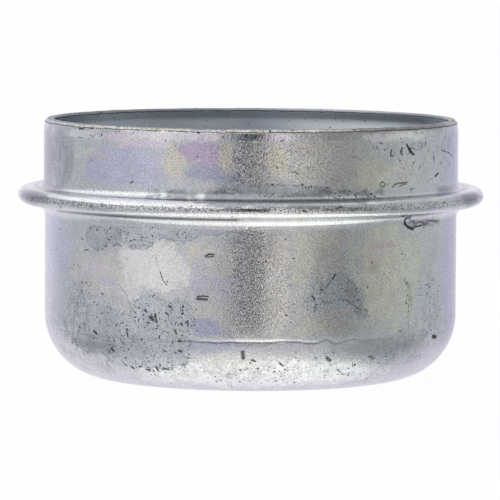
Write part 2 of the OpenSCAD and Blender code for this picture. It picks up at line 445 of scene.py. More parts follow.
# How much of the plate's colour worn grey, stains and pits cover, and how dark the burr is.
DULL_COVER, STAIN_COVER, PIT_COVER, BURR_COVER = 0.88, 0.75, 0.95, 0.8
# How much darker a worn patch is where it is darkest, and along its border.
DULL_DARKENING, DULL_RIM = 0.42, 0.14
# How much the speckle lightens and darkens the plate where it is strongest, and scuffs darken it.
SPECKLE, SCUFF_DARK = 0.80, 0.28
# How much painted shade darkens the inside at the top, and from where to where, measured from the
# lead-in.
INSIDE_TOP_SHADE, TOP_FROM, TOP_TO = 0.36, -0.15, 0.35
# The number that the rim's land and its chamfer have in the edge layer.
ON_LAND, ON_CHAMFER = 1.0, 0.5
# Patterns of noise: waves to a millimetre, finer layers, and how strong each of those is.
GRAIN, FINE, CLOUD = (5.2, 2, 0.65), (10.0, 1, 0.5), (0.45, 4, 0.65)
SHAKE, FRAY, STREAKS = (2.6, 3, 0.6), (7.0, 1, 0.5), (2.4, 3, 0.6)
UNEVEN, CLUMPS, FLECKS = (1.6, 4, 0.7), (1.1, 3, 0.6), (2.6, 4, 0.7)
SPECKS, MOTTLE, SPOTS, BLOTS = (6.0, 2, 0.75), (1.7, 4, 0.7), (1.3, 3, 0.7), (1.1, 5, 0.7)
# How they are stretched: upright streaks, flat pits and flecks, tall stains.
STREAK_SHAPE, PIT_SHAPE = (1.0, 1.0, 0.12), (1.0, 1.0, 1.25)
FLECK_SHAPE, STAIN_SHAPE = (1.0, 1.0, 1.8), (1.0, 1.0, 0.6)
# The middle of a noise that has three values.
MIDDLE = (0.5, 0.5, 0.5)
# Smooth steps: from which value to which, and the levels there where they aren't 0 and 1.
CLOUD_TONE, FINE_TONE = (0.3, 0.7, 0.94, 1.05), (0.25, 0.75, 0.93, 1.05)
WORN_CLOUD, WORN_GRAIN = (0.3, 0.7, 0.88, 1.12), (0.3, 0.7, 0.72, 1.18)
CLUMP_RATE, SPECK_TONE = (0.42, 0.62, 0.35, 2.8), (0.38, 0.62, -1, 1)
FINE_DIRT_AND_SHADE, IN_STAIN, IN_SCUFF = (0.2, 0.6, 0.6, 1.0), (0.46, 0.62), (0.48, 0.60)
IN_WORN, IN_FLECK, IN_MOTTLE = (-0.02, 0.05), (0.64, 0.68), (0.38, 0.60)
IN_SPOT, IN_BURR, AT_EDGE, AT_LAND = (0.60, 0.66), (0.32, 0.44), (0.2, 0.45), (0.6, 0.95)
# Along a worn patch's border, the bands of pits and of darker grey: middle, half width, fade.
PIT_BAND, DARK_BAND = (0.05, 0.10, 0.25), (0.06, 0.05, 0.12)
# How far a worn patch's border wanders, in millimetres.
WORN_WANDER = 0.9
# Small and large pits: cells to a millimetre, least and most radius in cells. How soft they are.
SMALL_PITS, LARGE_PITS, PIT_SOFT = (3.2, 0.16, 0.50), (1.9, 0.12, 0.34), 0.08
# Most pits are small: the power that their random size is raised to.
PIT_POWER = 1.8
# The share of cells with a pit on plain plate, small and large, and what worn patches add.
PLAIN_PITS, PLAIN_LARGE, WORN_PITS, BORDER_PITS = 0.006, 0.004, 0.05, 0.22
# The large pits' and the flecks' chance, to the small pits' chance.
LARGE_CHANCE, FLECK_CHANCE = 0.55, 2.5
# The broken line below the rim's chamfer: how far down, half height, fade, and its two wavers.
BURR_DOWN, BURR_HALF, BURR_FADE, BURR_WAVER, BURR_JITTER = 0.06, 0.03, 0.05, 0.5, 0.12
# The plate's roughness, and what wear, the rim's edge, the inside and marks add to it.
ROUGH, DULL_ROUGH, EDGE_ROUGH, INSIDE_ROUGH, MARK_ROUGH = 0.12, 0.12, 0.25, 0.18, 0.4
# The bump in millimetres: grain, fine grain, upright streaks on the lead-in, pits, worn patches.
GRAIN_HEIGHT, FINE_HEIGHT, STREAK_HEIGHT, PIT_DEPTH, DULL_DEPTH = 0.040, 0.004, 0.03, 0.05, 0.006
# How much of the grain burnishing takes away, and how soft the lead-in's lower end is.
BURNISHED_AWAY, LEAD_SOFT = 0.75, 0.06

# The studio's light by direction. Each band is a ring of stops: degrees right of the camera's
# side, then red, green and blue. The wall runs round the horizon, the skirt below it.
WALL_LIGHT = (
    (-180, (0.95, 0.92, 1.0)), (-150, (0.80, 0.77, 0.92)), (-133, (0.56, 0.57, 0.64)),
    (-100, (0.55, 0.56, 0.60)), (-70, (0.65, 0.65, 0.67)), (-50, (0.75, 0.75, 0.75)),
    (-30, (0.60, 0.60, 0.62)), (-14, (0.56, 0.56, 0.57)), (12, (0.86, 0.85, 0.81)),
    (21, (0.69, 0.68, 0.66)), (34, (0.41, 0.41, 0.40)), (50, (0.26, 0.26, 0.26)),
    (66, (0.39, 0.40, 0.39)), (85, (0.50, 0.51, 0.51)), (110, (0.54, 0.56, 0.57)),
    (138, (0.54, 0.56, 0.61)), (154, (0.58, 0.56, 0.70)), (180, (0.95, 0.92, 1.0)),
)
SKIRT_LIGHT = (
    (-180, (0.85, 0.83, 0.92)), (-130, (0.80, 0.79, 0.86)), (-100, (0.52, 0.53, 0.56)),
    (-60, (0.56, 0.57, 0.60)), (-25, (0.66, 0.66, 0.68)), (25, (0.68, 0.68, 0.68)),
    (48, (0.54, 0.55, 0.55)), (70, (0.42, 0.43, 0.44)), (110, (0.42, 0.43, 0.46)),
    (135, (0.70, 0.69, 0.78)), (180, (0.85, 0.83, 0.92)),
)
GROUND_LIGHT = (
    (-180, (0.96, 0.96, 1.0)), (-100, (0.98, 1.0, 1.0)), (-60, (1.02, 1.02, 1.02)),
    (-8, (1.03, 1.02, 1.03)), (-6, (1.12, 1.12, 1.09)), (60, (1.14, 1.15, 1.13)),
    (100, (1.06, 1.09, 1.08)), (180, (0.96, 0.96, 1.0)),
)
CEILING_LIGHT = (
    (-180, (0.80, 0.80, 0.84)), (-110, (1.30, 1.31, 1.33)), (-75, (1.45, 1.45, 1.45)),
    (-30, (1.15, 1.14, 1.13)), (5, (0.95, 0.95, 0.95)), (20, (0.55, 0.55, 0.56)),
    (60, (0.48, 0.48, 0.49)), (110, (0.52, 0.53, 0.56)), (180, (0.80, 0.80, 0.84)),
)
ZENITH_LIGHT = (1.1, 1.1, 1.1)
# The dark gap that the camera looks through: half its width in degrees, and its light.
GAP_HALF, GAP_SOFT, GAP_LIGHT = 8.5, 1.5, (0.10, 0.11, 0.12)
# Where one band turns into the next, as the height of the direction from -1 to 1. The ground
# starts lower at the sides, by the drop.
CEILING_FROM, CEILING_TO = 0.42, 0.50
ZENITH_FROM, ZENITH_TO = 0.75, 0.92
SKIRT_FROM, SKIRT_TO = -0.14, -0.36
GROUND_FROM, GROUND_TO, GROUND_DROP = -0.70, -0.80, 0.05
# The floor: half its side in metres, how much of it shines white, and the grey of the rest.
FLOOR_HALF, FLOOR_WHITENESS, PAPER = 6.0, 0.97, 0.9
# A hair below the cap's flat, so that the two faces don't share one plane.
FLOOR_Z = -0.00002


def camera_matrix():
    """Where the camera stands and looks, in millimetres."""
    back = Vector((0, -math.cos(CAMERA_ELEVATION), math.sin(CAMERA_ELEVATION)))
    turn = back.to_track_quat("Z", "Y").to_matrix().to_4x4()
    place = Matrix.Translation(CAMERA_AIM + back * CAMERA_DISTANCE)
    return place @ turn @ Matrix.Rotation(CAMERA_ROLL, 4, "Z")


def make_camera():
    data = bpy.data.cameras.new("camera")
    data.sensor_width = SENSOR_MM
    data.lens = SENSOR_MM * FOCAL_PX / PHOTO_SIDE
    data.clip_start = CLIP_NEAR
    data.clip_end = CLIP_FAR
    camera = bpy.data.objects.new("camera", data)
    bpy.context.collection.objects.link(camera)
    matrix = camera_matrix()
    matrix.translation *= MM
    camera.matrix_world = matrix
    bpy.context.scene.camera = camera


def line(start, end, step):
    """Points along a straight stretch of the section, without its last one."""
    start, end = np.array(start, float), np.array(end, float)
    n = max(1, round(float(np.linalg.norm(end - start)) / step))
    return [tuple(start + (end - start) * i / n) for i in range(n)]


def arc(centre, radius, start, end, step):
    """Points along a bend of the section, without its last one, with angles in degrees."""
    n = max(3, round(radius * math.radians(abs(end - start)) / step))
    angles = [math.radians(start + (end - start) * i / n) for i in range(n)]
    return [(centre[0] + radius * math.cos(a), centre[1] + radius * math.sin(a)) for a in angles]


def outer_section(inset=0.0, step=OUTER_STEP):
    """The section from the closed end's flat out and up to the lead-in, moved in by inset."""
    tip = (BEAD_R - BEAD_T / 2, SEAT_Z - BEAD_T / 2)
    low_root = (BODY_R + LOWER_ROOT, UNDER_Z - LOWER_ROOT)
    high_root = (SPIGOT_R + UPPER_ROOT, SEAT_Z + UPPER_ROOT)
    wall, fine = BODY_R - inset, step * BEND_SHARE
    corner = (FLAT_R, CORNER_R)
    return (
        arc(corner, CORNER_R - inset, -90, RING_FROM, step)
        + arc(corner, CORNER_R - inset, RING_FROM, RING_TO, step if inset else RING_STEP)
        + arc(corner, CORNER_R - inset, RING_TO, 0, step)
        + line((wall, CORNER_R), (wall, low_root[1]), step)
        + arc(low_root, LOWER_ROOT + inset, 180, 90, fine)
        + line((low_root[0], UNDER_Z + inset), (tip[0], UNDER_Z + inset), step)
        + arc(tip, BEAD_T / 2 - inset, -90, 90, fine)
        + line((tip[0], SEAT_Z - inset), (high_root[0], SEAT_Z - inset), step)
        + arc(high_root, UPPER_ROOT + inset, 270, 180, fine)
        + line((SPIGOT_R - inset, high_root[1]), (SPIGOT_R - inset, LEAD_Z), step)
    )


def rings():
    """Each ring's radius, height and count of points, with what stretch it belongs to.

    They run from the middle of the closed end out, up, over the rim and back down the inside.
    """
    ends = [(r, 0.0, n, "end") for r, n in END_RINGS]
    outer = outer_section() + line((SPIGOT_R, LEAD_Z), CHAMFER_LOW, LEAD_STEP)
    outer = [(r, z, FULL, "outer") for r, z in outer]
    rim = [(r, z, FULL, "rim") for r, z in line(CHAMFER_LOW, CHAMFER_HIGH, CHAMFER_STEP)]
    rim += [(r, z, FULL, "land") for r, z in line(CHAMFER_HIGH, INNER_EDGE, LAND_STEP)]
    inner = line(INNER_EDGE, (SPIGOT_R - SHEET, LEAD_Z), INNER_LEAD_STEP)
    inner += outer_section(SHEET, INNER_STEP)[::-1]
    inner = [(r, z, HALF, "inner") for r, z in inner]
    floor = [(r, SHEET, n, "floor") for r, n in FLOOR_RINGS]
    return ends + outer + rim + inner + floor


def stitch(a, b):
    """Faces between two rings of vertices, where one may have twice as many as the other."""
    if len(a) == len(b):
        n = len(a)
        return [(a[i], a[(i + 1) % n], b[(i + 1) % n], b[i]) for i in range(n)]
    if len(a) < len(b):
        return [tuple(reversed(f)) for f in stitch(b, a)]
    n, faces = len(b), []
    for i in range(n):
        j = (i + 1) % n
        faces.append((a[2 * i], a[2 * i + 1], b[i]))
        faces.append((a[2 * i + 1], a[(2 * i + 2) % len(a)], b[j], b[i]))
    return faces


def plain_cap():
    """The cap's points in millimetres and its faces, before any wear."""
    points, faces, kinds, last = [(0.0, 0.0, 0.0)], [], ["end"], None
    for r, z, n, kind in rings():
        ring = list(range(len(points), len(points) + n))
        for i in range(n):
            a = 2 * math.pi * i / n
            points.append((r * math.sin(a), -r * math.cos(a), z))
            kinds.append(kind)
        if last is None:
            faces += [(0, ring[(i + 1) % n], ring[i]) for i in range(n)]
        else:
            faces += stitch(last, ring)
        last = ring
    middle = len(points)
    points.append((0.0, 0.0, SHEET))
    kinds.append("floor")
    faces += [(middle, last[i], last[(i + 1) % len(last)]) for i in range(len(last))]
    return points, faces, kinds


def make_object(name, points, faces):
    mesh = bpy.data.meshes.new(name)
    mesh.from_pydata([tuple(c * MM for c in p) for p in points], [], faces)
    mesh.validate()
    mesh.update()
    piece = bpy.data.objects.new(name, mesh)
    bpy.context.collection.objects.link(piece)
    for polygon in mesh.polygons:
        polygon.use_smooth = True
    return piece


class Surface:
    """The plain cap, seen through the camera: pixels of the photograph to places on it."""

    def __init__(self, points, faces):
        self.tree = BVHTree.FromPolygons([Vector(p) for p in points], faces)
        self.matrix = camera_matrix()

    def point(self, x, y):
        """The place in millimetres where a pixel of the photograph meets the cap."""
        half = PHOTO_SIDE / 2
        ray = Vector(((x - half) / FOCAL_PX, (half - y) / FOCAL_PX, -1.0))
        ray = (self.matrix.to_3x3() @ ray).normalized()
        hit, *_ = self.tree.ray_cast(self.matrix.translation, ray)
        if hit is None:
            raise ValueError(f"pixel {x}, {y} misses the cap")
        return hit

    def patch(self, x, y, half_w, half_h):
        """A patch seen in the photograph: its angle, height and half sizes in millimetres."""
        hit = self.point(x, y)
        angle = math.atan2(hit.x, -hit.y)
        wide = half_w / PX_PER_MM / max(NARROWEST, math.cos(angle))
        return angle, hit.z, wide, half_h / PX_PER_MM


def turn_between(angles, angle):
    """Angles from one place round the cap, wrapped to half a turn each way."""
    return (angles - angle + math.pi) % (2 * math.pi) - math.pi


def turn_from(angles, angle):
    """How far round the cap each angle lies from a place, or from that place half a turn on.

    The cap's hidden far side repeats the front's wear in this way.
    """
    front, back = turn_between(angles, angle), turn_between(angles, angle + math.pi)
    return np.minimum(np.abs(front), np.abs(back))


def depth_in(places, surface, patch, wobble):
    """How deep each point lies in an oval patch: 1 in its middle, 0 at its edge, less outside.

    Also the lesser of the patch's half sizes.
    """
    angles, radii, heights = places
    angle, z, wide, tall = surface.patch(*patch)
    apart = turn_from(angles, angle)
    return 1 - np.hypot(apart * radii / wide, (heights - z) / tall) + wobble, min(wide, tall)


def share_of(places, surface, patches, wobble):
    """The strongest of some patches at each point, fading to their edges."""
    share = np.zeros(len(wobble))
    for *patch, strength in patches:
        depth, _ = depth_in(places, surface, patch, wobble)
        share = np.maximum(share, strength * np.clip(depth / SHARE_EDGE, 0, 1))
    return share


def tint_of(places, surface, wobble):
    """The plate's colour at each point."""
    tint = np.tile(COLOURS["plain"], (len(wobble), 1))
    for *patch, name, strength in TINTS:
        depth, _ = depth_in(places, surface, patch, wobble * TINT_WOBBLE)
        share = strength * np.clip(depth / TINT_EDGE, 0, 1)
        tint += (np.array(COLOURS[name]) - tint) * share[:, None]
    return tint


def worn_at(places, surface, wobble):
    """The distance into the nearest worn patch in millimetres, less outside, and its darkness.

    No worn patch reaches the root below the bead.
    """
    heights = places[2]
    inside = np.full(len(wobble), FAR_OUT)
    shade = np.zeros(len(wobble))
    for *patch, dark in DULL_PATCHES:
        depth, size = depth_in(places, surface, patch, wobble * WORN_WOBBLE)
        shade = np.where(depth > SHADE_FROM, dark, shade)
        inside = np.maximum(inside, depth * size)
    root = np.clip((heights - (UNDER_Z - LOWER_ROOT)) / ROOT_SOFT, 0, 1)
    return np.where(heights < SEAT_Z, inside - ROOT_OFF * root, inside), shade


def burnish_and_highlight_of(places, surface):
    """Where the plate is burnished and a painted highlight brightens its colour: the bead's
    underside and the root below it.
    """
    low, high = UNDER_Z - LOWER_ROOT * SHEEN_LOW, SEAT_Z - BEAD_T * SHEEN_HIGH
    rise = np.clip((places[2] - low) / SHEEN_LOW_FADE, 0, 1)
    fall = np.clip((high - places[2]) / SHEEN_HIGH_FADE, 0, 1)
    return rise * fall * share_of(places, surface, BURNISHED_AND_HIGHLIGHT, np.zeros(len(rise)))


def face_of(places):
    """The bead's rounded edge, where dirt and small pits gather."""
    _, radii, heights = places
    up = (heights - SEAT_Z + BEAD_T * FACE_MIDDLE) / (BEAD_T * FACE_HALF)
    return np.exp(-(up**FACE_SHARP)) * (radii > BEAD_R - BEAD_T / 2)


def crease_darkening_at(places, surface):
    """Darkening in the bead's roots: painted shade in the crease at the seat, and a dark line below
    the bead, worst at the left.
    """
    angles, radii, heights = places
    out, up = radii - SPIGOT_R - UPPER_ROOT, heights - SEAT_Z
    seat = np.exp(-((out / SEAT_SHADE_W) ** 2) - (up / SEAT_SHADE_H) ** 2)
    below = heights - UNDER_Z
    under = np.exp(-((below / UNDER_DARK_H) ** 2)) * (radii < BEAD_R - BEAD_T * UNDER_DARK_REACH)
    left, right = (surface.point(x, UNDER_ROW) for x in UNDER_DARK_ENDS)
    left, right = math.atan2(left.x, -left.y), math.atan2(right.x, -right.y)
    apart = turn_from(angles, (left + right) / 2)
    under *= np.where(apart < (right - left) / 2, 1.0, UNDER_DARK_ELSEWHERE)
    return np.maximum(seat, np.minimum(1, UNDER_DARK * under))


def noise_at(points, scale, seed):
    """Smooth noise from -1 to 1 at points in millimetres."""
    shift = Vector([seed * s for s in SEED_SHIFT])
    return np.array([noise.noise(Vector(p) * scale + shift) for p in points])


def ring_track(places, surface):
    """Each point's height above the draw ring's line, which wavers, and how strong the line is."""
    angles, _, heights = places
    round_it = [(math.sin(a), math.cos(a)) for a in angles]
    wander = np.array([noise.noise(Vector((s, c, 0)) * WANDER_SCALE) for s, c in round_it])
    wiggle = np.array([noise.noise(Vector((s, c, 3)) * WIGGLE_SCALE) for s, c in round_it])
    strength = share_of(places, surface, RING_SEEN, np.zeros(len(angles)))
    wavy = share_of(places, surface, RING_WAVY, np.zeros(len(angles)))
    line_z = RING_Z + RING_UP + RING_WANDER * wander + RING_WIGGLE * wiggle * wavy
    return heights - line_z, RING_FAINT + strength


def ring_step(places, surface):
    """How far the draw ring steps the sheet in at each point."""
    ring, strength = ring_track(places, surface)
    step_in = 1 / (1 + np.exp(np.clip(ring / RING_SHARP, -MOST_POWER, MOST_POWER)))
    healed = np.exp(-((np.minimum(ring, 0) / RING_HEALS) ** 2))
    return strength * RING_STEP_IN * step_in * healed


def dents_at(points, surface):
    """How deep each point lies in the dents, which come again half a turn on."""
    deep = np.zeros(len(points))
    for x, y, size, depth in DENTS:
        hit = np.array(surface.point(x, y))
        for turn in (1, -1):
            place = hit * (turn, turn, 1)
            deep += depth * np.exp(-(np.linalg.norm(points - place, axis=1) / size) ** 2)
    return deep


def rim_drop(points, angles, surface):
    """What waver and nicks add to the rim's height at each point, which is never above 0."""
    drop = RIM_WAVER * noise_at(points, *RIM_NOISE) - RIM_WAVER
    for x, half_w, depth in RIM_NICKS:
        hit = surface.point(x, RIM_ROW)
        across = turn_between(angles, math.atan2(hit.x, -hit.y)) * RIM_R * PX_PER_MM
        drop -= depth * np.exp(-(across / half_w) ** 2)
    return drop


def relief(points, normals, kinds, surface):
    """The points moved by what has happened to the sheet since it was pressed."""
    angles = np.arctan2(points[:, 0], -points[:, 1])
    radii = np.hypot(points[:, 0], points[:, 1])
    z = points[:, 2]
    upright = np.clip(radii / BODY_R, 0, 1) ** 2
    out = sum(depth * (np.sin(n * angles + turn) - 1) for n, turn, depth in OUT_OF_ROUND)
    moved = points.copy()
    moved[:, 0] += np.sin(angles) * out * upright
    moved[:, 1] -= np.cos(angles) * out * upright

    seen = np.isin(kinds, ("outer", "rim", "land"))
    push = -ring_step((angles, radii, z), surface) - dents_at(points, surface)
    bead = (radii > SPIGOT_R + UPPER_ROOT) & seen
    waver = BEAD_WAVER * noise_at(points, *BEAD_NOISE) - BEAD_IN
    push += np.where(bead, waver, 0)
    push = np.where(seen, push, 0)
    moved += normals * push[:, None]

    edge = np.clip((z - RIM_Z + RIM_FADE) / RIM_FADE, 0, 1)
    moved[:, 2] += edge * rim_drop(points, angles, surface)
    return moved


class Graph:
    """Adds shader nodes, with plain numbers or other nodes' outputs as their inputs."""

    def __init__(self, tree):
        self.tree = tree
        tree.nodes.clear()

    def add(self, kind, inputs=(), output=0, **settings):
        node = self.tree.nodes.new("ShaderNode" + kind)
        for name, value in settings.items():
            setattr(node, name, value)
        for key, value in dict(inputs).items():
            if isinstance(value, bpy.types.NodeSocket):
                self.tree.links.new(value, node.inputs[key])
            elif node.inputs[key].type == "RGBA":
                node.inputs[key].default_value = (*value, 1.0)
            else:
                node.inputs[key].default_value = value
        return node if output is None else node.outputs[output]

    def math(self, operation, *values, clamp=False):
        return self.add("Math", enumerate(values), operation=operation, use_clamp=clamp)

    times = partialmethod(math, "MULTIPLY")
    times_plus = partialmethod(math, "MULTIPLY_ADD")
    plus = partialmethod(math, "ADD")
    minus = partialmethod(math, "SUBTRACT")
    most = partialmethod(math, "MAXIMUM")

    def vector(self, operation, *values, output=0):
        pairs = enumerate(values)
        return self.add("VectorMath", pairs, output, operation=operation)

    def scaled(self, vector, by):
        inputs = {0: vector, "Scale": by}
        return self.add("VectorMath", inputs, operation="SCALE")

    def steps(self, value, low, high, to_low=0.0, to_high=1.0):
        """A smooth step from one level to another as value goes from low to high."""
        inputs = {"Value": value, "From Min": low, "From Max": high}
        inputs.update({"To Min": to_low, "To Max": to_high})
        return self.add("MapRange", inputs, interpolation_type="SMOOTHSTEP")

    def noise(self, place, scale, detail, rough, output=0):
        inputs = {"Vector": place, "Scale": scale, "Detail": detail, "Roughness": rough}
        return self.add("TexNoise", inputs, output)

    def mix(self, factor, a, b, blend="MIX"):
        inputs = {0: factor, 6: a, 7: b}
        settings = {"data_type": "RGBA", "blend_type": blend, "clamp_factor": True}
        return self.add("Mix", inputs, 2, **settings)

    def attribute(self, name):
        return self.add("Attribute", (), "Fac", attribute_name=name)


def stroke(g, place, start, end, width):
    """How deep in a straight mark from start to end each place lies: 1 in its middle, 0 outside."""
    along = end - start
    span = max(along.length_squared, LEAST_SPAN)
    apart = g.vector("SUBTRACT", place, tuple(start))
    share = g.vector("DOT_PRODUCT", apart, tuple(along / span), output="Value")
    share = g.math("MINIMUM", g.most(share, 0.0), 1.0)
    near = g.scaled(tuple(along), share)
    gap = g.vector("DISTANCE", apart, near, output="Value")
    return g.steps(gap, width * MARK_EDGE, width * MARK_CORE)


def marks_on(g, place, surface):
    """All the photograph's separate marks, as one depth from 0 to 1."""
    total = None
    for width, depth, *track in sum(MARKS.values(), ()):
        hits = [surface.point(x, y) for x, y in zip(track[::2], track[1::2])]
        deepest = None
        for start, end in zip(hits[:-1], hits[1:]):
            part = stroke(g, place, start, end, width / PX_PER_MM)
            deepest = part if deepest is None else g.most(deepest, part)
        deepest = g.times(deepest, depth)
        total = deepest if total is None else g.most(total, deepest)
    return total


def pits_in(g, place, share, scale, least, most):
    """Small round pits in a random share of cells, with radii from least to most of a cell."""
    cell = g.add("TexVoronoi", {"Vector": place, "Scale": scale}, None)
    luck = g.add("SeparateColor", {0: cell.outputs["Color"]}, None).outputs
    size = g.math("POWER", luck["Green"], PIT_POWER)
    size = g.times_plus(size, most - least, least)
    depth = g.minus(size, cell.outputs["Distance"])
    chosen = g.math("LESS_THAN", luck["Red"], share)
    return g.times(g.steps(depth, 0.0, PIT_SOFT), chosen)


def band(g, value, middle, half, soft):
    """1 where value lies within half of middle, fading out over soft."""
    return g.steps(g.math("ABSOLUTE", g.minus(value, middle)), half + soft, half)


class Patterns:
    """Places in millimetres as the cap was pressed, and the noises that several features share."""

    def __init__(self, g):
        place = g.add("Attribute", (), "Vector", attribute_name="pressed")
        self.place = place
        self.axes = g.add("SeparateXYZ", {0: place}, None).outputs
        self.shake = g.vector("SUBTRACT", g.noise(place, *SHAKE, "Color"), MIDDLE)
        self.frayed = g.vector("SUBTRACT", g.noise(place, *FRAY, "Color"), MIDDLE)
        self.grain = g.noise(place, *GRAIN)
        self.fine = g.noise(place, *FINE)
        self.cloud = g.noise(place, *CLOUD)
        self.streaks = g.noise(g.vector("MULTIPLY", place, STREAK_SHAPE), *STREAKS)
        self.outside = g.minus(1.0, g.attribute("inside"))


def shaken(g, p, place, shake, fray):
    """A place moved by the two noises that roughen outlines, by so many millimetres."""
    place = g.vector("ADD", place, g.scaled(p.shake, shake))
    return g.vector("ADD", place, g.scaled(p.frayed, fray))


def front_of(g, p):
    """Each place, or the one half a turn on if that is in front, for the photograph's marks."""
    side = g.math("SIGN", g.times(p.axes["Y"], -1.0))
    flip = g.add("CombineXYZ", {"X": side, "Y": side, "Z": 1.0})
    return shaken(g, p, g.vector("MULTIPLY", p.place, flip), MARK_SHAKE, MARK_FRAY)


def worn_depth(g, p):
    """How far into a worn patch each place lies, in millimetres, with a wandering border."""
    uneven = g.minus(g.noise(p.place, *UNEVEN), 0.5)
    return g.plus(g.attribute("dull"), g.times(uneven, WORN_WANDER))


def pitted(g, p, dull, in_dull):
    """Pits in clumps, and flecks among them, most of all along the borders of worn patches."""
    ragged = shaken(g, p, p.place, PIT_SHAKE, PIT_FRAY)
    ragged = g.vector("MULTIPLY", ragged, PIT_SHAPE)
    border = g.times(band(g, in_dull, *PIT_BAND), BORDER_PITS)
    share = g.plus(g.attribute("pits"), g.times(dull, WORN_PITS))
    share = g.plus(share, border)
    clump = g.steps(g.noise(p.place, *CLUMPS), *CLUMP_RATE)
    share = g.times_plus(share, clump, PLAIN_PITS)
    small = pits_in(g, ragged, share, *SMALL_PITS)
    large_share = g.times_plus(share, LARGE_CHANCE, PLAIN_LARGE)
    large = pits_in(g, g.scaled(ragged, -1.0), large_share, *LARGE_PITS)
    fleck = g.noise(g.vector("MULTIPLY", p.place, FLECK_SHAPE), *FLECKS)
    likely = g.times(share, FLECK_CHANCE, clamp=True)
    fleck = g.times(g.steps(fleck, *IN_FLECK), likely)
    return g.most(g.most(small, large), fleck)


def greys(g, value):
    return g.add("CombineColor", {0: value, 1: value, 2: value})


def plate_colour(g, p):
    """The tinted plate, with clouds, fine grain, scuffs and speckle."""
    tint = g.add("Attribute", (), "Color", attribute_name="tint")
    clouds = g.steps(p.cloud, *CLOUD_TONE)
    tone = g.times(clouds, g.steps(p.fine, *FINE_TONE))
    scuff = g.times(g.attribute("scuffs"), g.steps(p.streaks, *IN_SCUFF))
    tone = g.times_plus(scuff, -SCUFF_DARK, tone)
    grains = g.steps(g.noise(p.place, *SPECKS), *SPECK_TONE)
    speckle = g.times(g.attribute("speckle"), grains)
    tone = g.times(tone, g.times_plus(speckle, SPECKLE, 1.0))
    return g.mix(1.0, tint, greys(g, tone), "MULTIPLY")


def worn_colour(g, p, in_dull):
    """A worn patch's grey, darkest along its border."""
    clouds = g.steps(p.cloud, *WORN_CLOUD)
    shade = g.times_plus(g.attribute("dull_shade"), -DULL_DARKENING, clouds)
    shade = g.times(shade, g.steps(p.grain, *WORN_GRAIN))
    shade = g.times_plus(band(g, in_dull, *DARK_BAND), -DULL_RIM, shade)
    return g.mix(1.0, DULL, greys(g, shade), "MULTIPLY")


def rim_colour(g, p, tint):
    """The plate's colour with the rim's mottled bare edge and dark land over it."""
    edge = g.attribute("edge")
    mottle = g.steps(g.noise(p.place, *MOTTLE), *IN_MOTTLE)
    worn_edge = g.mix(mottle, EDGE, BRIGHT_EDGE)
    tint = g.mix(g.steps(edge, *AT_EDGE), tint, worn_edge)
    return g.mix(g.steps(edge, *AT_LAND), tint, LAND)


def burr_of(g, p):
    """The dark broken line along the foot of the rim's chamfer, and spots on the edge itself."""
    wavy = g.times_plus(g.minus(p.cloud, 0.5), BURR_WAVER, p.axes["Z"])
    wavy = g.times_plus(g.minus(p.grain, 0.5), BURR_JITTER, wavy)
    foot = band(g, wavy, RIM_Z - CHAMFER - BURR_DOWN, BURR_HALF, BURR_FADE)
    spots = g.steps(g.noise(p.place, *SPOTS), *IN_SPOT)
    burr = g.most(foot, g.times(g.attribute("edge"), spots))
    return g.times(burr, g.steps(p.cloud, *IN_BURR))


def dirtied_and_shaded(g, p, tint):
    """A colour with the dirt, the dark line below the bead, the painted shade in the seat's crease
    and the draw ring's groove, and the dried stains over it.
    """
    grime = g.times(g.attribute("grime"), g.steps(p.fine, *FINE_DIRT_AND_SHADE))
    tint = g.mix(g.times(grime, p.outside), tint, DIRT_AND_SHADE)
    blots = g.noise(g.vector("MULTIPLY", p.place, STAIN_SHAPE), *BLOTS)
    stain = g.times(g.attribute("stained"), g.steps(blots, *IN_STAIN))
    return g.mix(g.times(stain, STAIN_COVER), tint, STAIN)


def inside_colour(g, p, tint, haze):
    """A colour that gives way inside to a darker grey and a pale film, which paint the inside's
    shade and light, with more painted shade above the lead-in's height.
    """
    inside = g.attribute("inside")
    tint = g.mix(inside, tint, INSIDE)
    tint = g.mix(haze, tint, HAZE)
    top = g.steps(p.axes["Z"], LEAD_Z + TOP_FROM, LEAD_Z + TOP_TO, 0.0, INSIDE_TOP_SHADE)
    return g.mix(g.times(top, inside), tint, (0, 0, 0))


def roughness(g, dull, marks):
    rough = g.times_plus(dull, DULL_ROUGH, ROUGH)
    rough = g.times_plus(g.attribute("edge"), EDGE_ROUGH, rough)
    rough = g.times_plus(g.attribute("inside"), INSIDE_ROUGH, rough)
    return g.times_plus(marks, MARK_ROUGH, rough)


def bumps(g, p, dull, hollow):
    """The fine relief: grain where the plate isn't burnished, streaks on the lead-in, and pits.

    The photograph's marks stay out of it, because a bump from so many nodes can't be compiled.
    """
    lead = g.steps(p.axes["Z"], LEAD_Z - LEAD_SOFT, LEAD_Z + LEAD_SOFT)
    streaks = g.times(p.streaks, g.times(lead, p.outside))
    coarse = g.times_plus(g.attribute("burnished"), -BURNISHED_AWAY, 1.0)
    height = g.times(g.times(p.grain, GRAIN_HEIGHT), coarse)
    height = g.times_plus(p.fine, FINE_HEIGHT, height)
    height = g.times_plus(streaks, STREAK_HEIGHT, height)
    height = g.times_plus(hollow, -PIT_DEPTH, height)
    height = g.times_plus(dull, -DULL_DEPTH, height)
    return g.add("Bump", {"Height": height, "Distance": MM, "Strength": 1.0})


